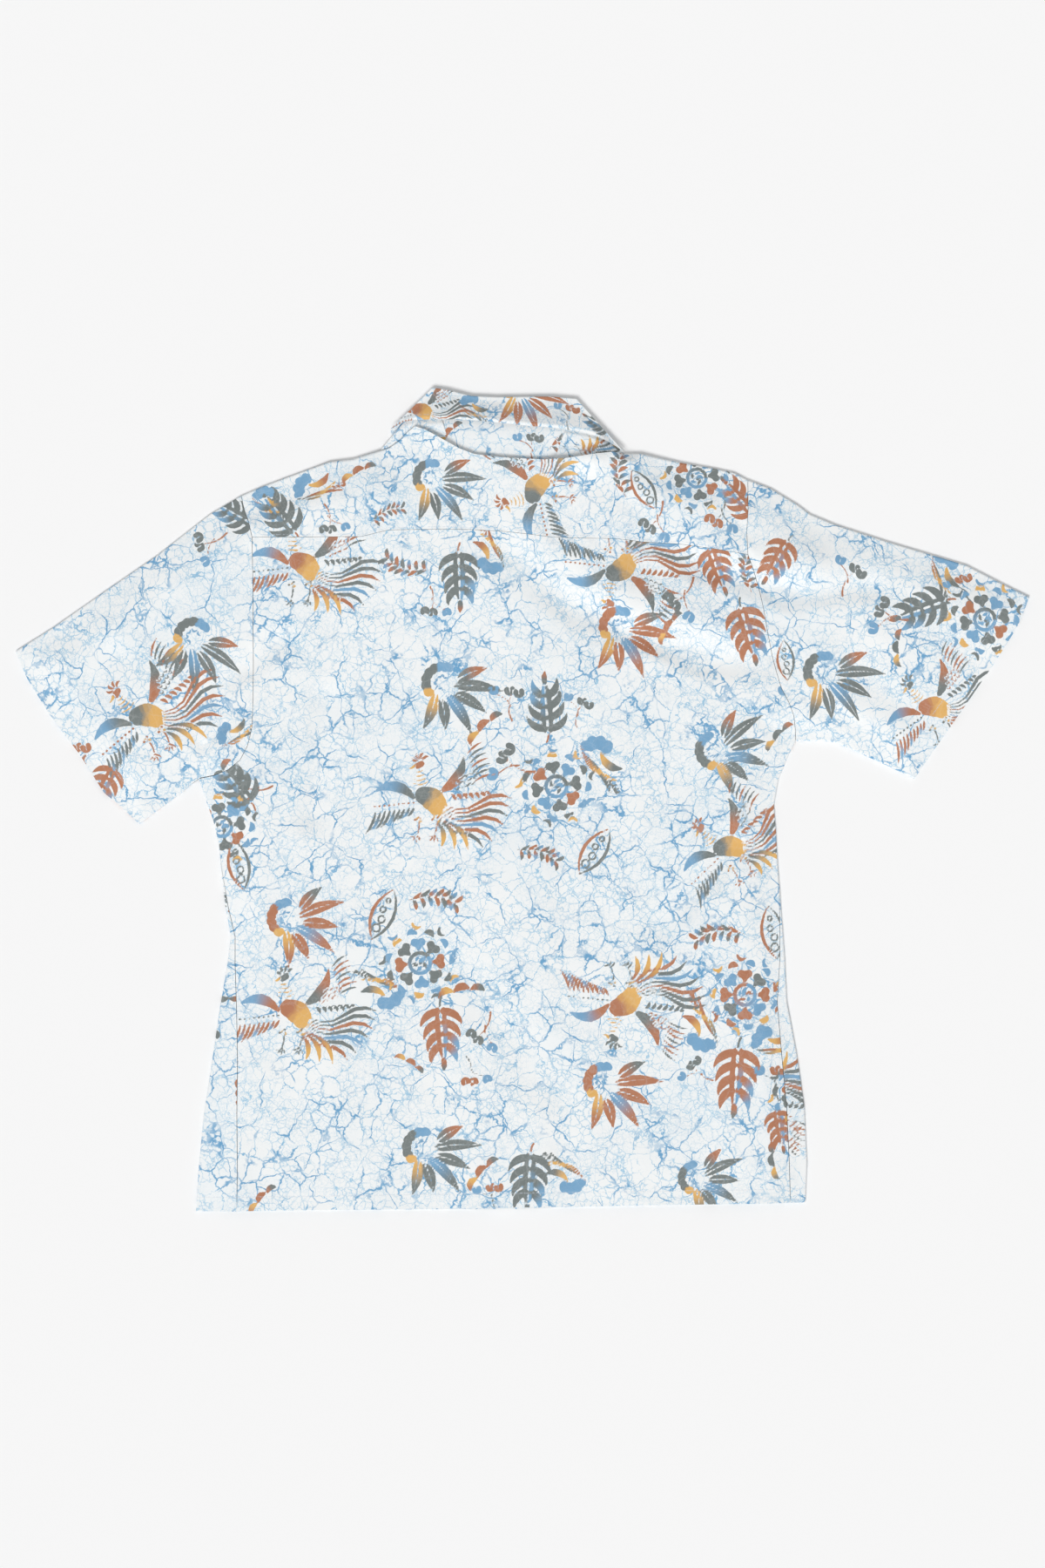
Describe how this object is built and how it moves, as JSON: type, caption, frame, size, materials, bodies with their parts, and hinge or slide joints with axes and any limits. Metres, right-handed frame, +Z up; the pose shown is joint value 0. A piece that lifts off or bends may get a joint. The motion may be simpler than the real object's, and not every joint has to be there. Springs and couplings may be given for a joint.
{
  "type": "hawaiian shirt",
  "caption": "Short-sleeved aloha shirt with an open collar and a printed cotton body, laid flat on its buttoned front with the back up.",
  "frame": {"origin": "bottom centre of the bounding box: the middle of the shirt as it lies, on the surface it lies on", "axes": "+X from the left sleeve to the right sleeve as seen from above, +Y from the hem to the collar, +Z up out of the back"},
  "size_m": [0.931, 0.756, 0.0107],
  "materials": {
    "printed_cotton": "matt printed cotton poplin",
    "button_resin": "polished resin"
  },
  "bodies": {
    "root": {"back": "printed_cotton", "yoke": "printed_cotton", "front_left": "printed_cotton", "front_right": "printed_cotton", "sleeve_left": "printed_cotton", "sleeve_right": "printed_cotton", "collar_back": "printed_cotton", "collar_left": "printed_cotton", "collar_right": "printed_cotton", "button_1": "button_resin", "button_2": "button_resin", "button_3": "button_resin", "button_4": "button_resin", "button_5": "button_resin", "button_6": "button_resin"}
  },
  "joints": []
}
